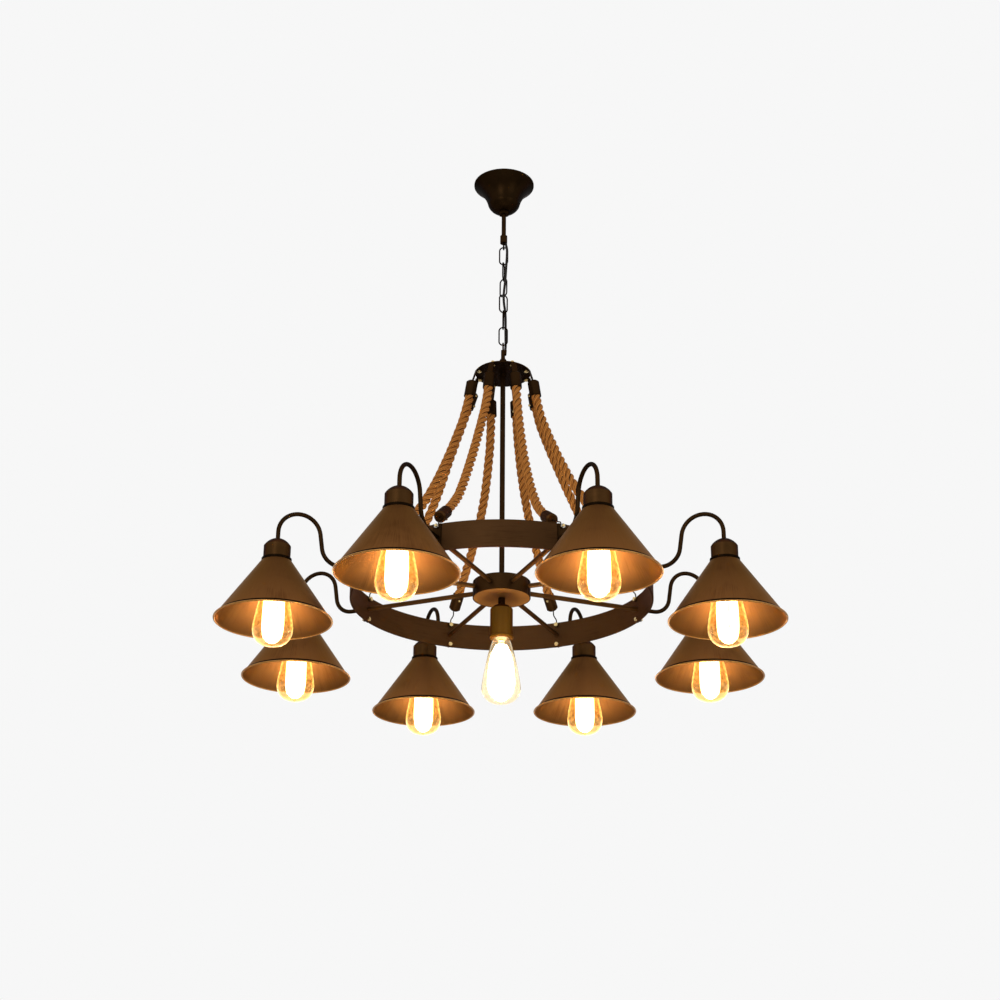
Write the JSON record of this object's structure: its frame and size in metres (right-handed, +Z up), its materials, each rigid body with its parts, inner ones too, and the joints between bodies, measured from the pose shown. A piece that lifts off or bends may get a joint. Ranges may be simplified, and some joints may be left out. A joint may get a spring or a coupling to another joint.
{
  "type": "chandelier",
  "caption": "Hanging chandelier: canopy, chain and rod carry a flat hoop by hemp ropes, with curved arms, cone shades and teardrop bulbs.",
  "frame": {"origin": "on the ceiling plane, midway between the two slots of the ceiling bracket", "axes": "+Z up to the ceiling, +X along the bracket's two slots, the hanging axis along Z, the picture taken from the -Y side"},
  "size_m": [0.8966, 0.8966, 0.99],
  "materials": {
    "zinc_steel": "zinc plated",
    "white_plastic": "moulded",
    "dark_bronze": "dark bronze, satin",
    "brushed_bronze": "brushed dark bronze, satin",
    "cover_bronze": "lighter bronze, satin",
    "holder_brown": "dark brown, satin",
    "screw_brass": "bright",
    "hemp": "three-strand hemp",
    "cord_black": "smooth sleeve",
    "bulb_glass": "amber tint, clear",
    "centre_glass": "pale tint, clear"
  },
  "bodies": {
    "ceiling_mount": {"ceiling_bracket": "zinc_steel", "bracket_nuts": "zinc_steel", "terminal_block": "white_plastic", "stem": "dark_bronze", "stem_collar": "dark_bronze", "stem_hook": "dark_bronze"},
    "canopy_group": {"canopy": "dark_bronze", "canopy_nut": "dark_bronze"},
    "chain": {"chain_links": "dark_bronze", "power_cord_upper": "cord_black", "power_cord_lower": "cord_black"},
    "fixture": {"rod_eye": "dark_bronze", "main_rod": "dark_bronze", "rod_cone": "dark_bronze", "top_plate": "dark_bronze", "plate_nut": "dark_bronze", "plate_screws": "screw_brass", "rope_tabs": "dark_bronze", "upper_rope_caps": "dark_bronze", "lower_rope_caps": "dark_bronze", "cap_screws": "screw_brass", "rope_hangers": "zinc_steel", "wheel_ring": "brushed_bronze", "spokes": "dark_bronze", "hub_drum": "dark_bronze", "hub_cover": "cover_bronze", "hub_terminal_block": "white_plastic", "arm_plates": "dark_bronze", "ring_screws": "screw_brass", "ring_nuts": "zinc_steel", "arms": "dark_bronze", "lamp_cups": "dark_bronze", "lamp_holders": "holder_brown", "centre_nipple": "dark_bronze", "centre_holder": "holder_brown", "shade_1": "brushed_bronze", "rope_1": "hemp", "shade_2": "brushed_bronze", "rope_2": "hemp", "shade_3": "brushed_bronze", "rope_3": "hemp", "shade_4": "brushed_bronze", "rope_4": "hemp", "shade_5": "brushed_bronze", "rope_5": "hemp", "shade_6": "brushed_bronze", "rope_6": "hemp", "shade_7": "brushed_bronze", "rope_7": "hemp", "shade_8": "brushed_bronze", "rope_8": "hemp"},
    "bulb_1_body": {"bulb_1": "bulb_glass"},
    "bulb_2_body": {"bulb_2": "bulb_glass"},
    "bulb_3_body": {"bulb_3": "bulb_glass"},
    "bulb_4_body": {"bulb_4": "bulb_glass"},
    "bulb_5_body": {"bulb_5": "bulb_glass"},
    "bulb_6_body": {"bulb_6": "bulb_glass"},
    "bulb_7_body": {"bulb_7": "bulb_glass"},
    "bulb_8_body": {"bulb_8": "bulb_glass"},
    "centre_bulb_body": {"centre_bulb": "centre_glass"}
  },
  "joints": [
    {"name": "canopy_slide", "type": "slide", "parent": "ceiling_mount", "child": "canopy_group", "axis": [0, 0, -1], "range_m": [0, 0.04]},
    {"name": "chain_swing", "type": "hinge", "parent": "ceiling_mount", "child": "chain", "pos_m": [0, 0, -0.1361], "axis": [0, 1, 0], "range_deg": [-10, 10], "deforming": ["power_cord_upper"]},
    {"name": "fixture_swing", "type": "hinge", "parent": "chain", "child": "fixture", "pos_m": [0, 0, -0.33265], "axis": [1, 0, 0], "range_deg": [-10, 10], "deforming": ["power_cord_lower"]},
    {"name": "bulb_1_release", "type": "slide", "parent": "fixture", "child": "bulb_1_body", "axis": [0, 0, -1], "range_m": [0, 0.026]},
    {"name": "bulb_2_release", "type": "slide", "parent": "fixture", "child": "bulb_2_body", "axis": [0, 0, -1], "range_m": [0, 0.026]},
    {"name": "bulb_3_release", "type": "slide", "parent": "fixture", "child": "bulb_3_body", "axis": [0, 0, -1], "range_m": [0, 0.026]},
    {"name": "bulb_4_release", "type": "slide", "parent": "fixture", "child": "bulb_4_body", "axis": [0, 0, -1], "range_m": [0, 0.026]},
    {"name": "bulb_5_release", "type": "slide", "parent": "fixture", "child": "bulb_5_body", "axis": [0, 0, -1], "range_m": [0, 0.026]},
    {"name": "bulb_6_release", "type": "slide", "parent": "fixture", "child": "bulb_6_body", "axis": [0, 0, -1], "range_m": [0, 0.026]},
    {"name": "bulb_7_release", "type": "slide", "parent": "fixture", "child": "bulb_7_body", "axis": [0, 0, -1], "range_m": [0, 0.026]},
    {"name": "bulb_8_release", "type": "slide", "parent": "fixture", "child": "bulb_8_body", "axis": [0, 0, -1], "range_m": [0, 0.026]},
    {"name": "centre_bulb_release", "type": "slide", "parent": "fixture", "child": "centre_bulb_body", "axis": [0, 0, -1], "range_m": [0, 0.026]}
  ]
}
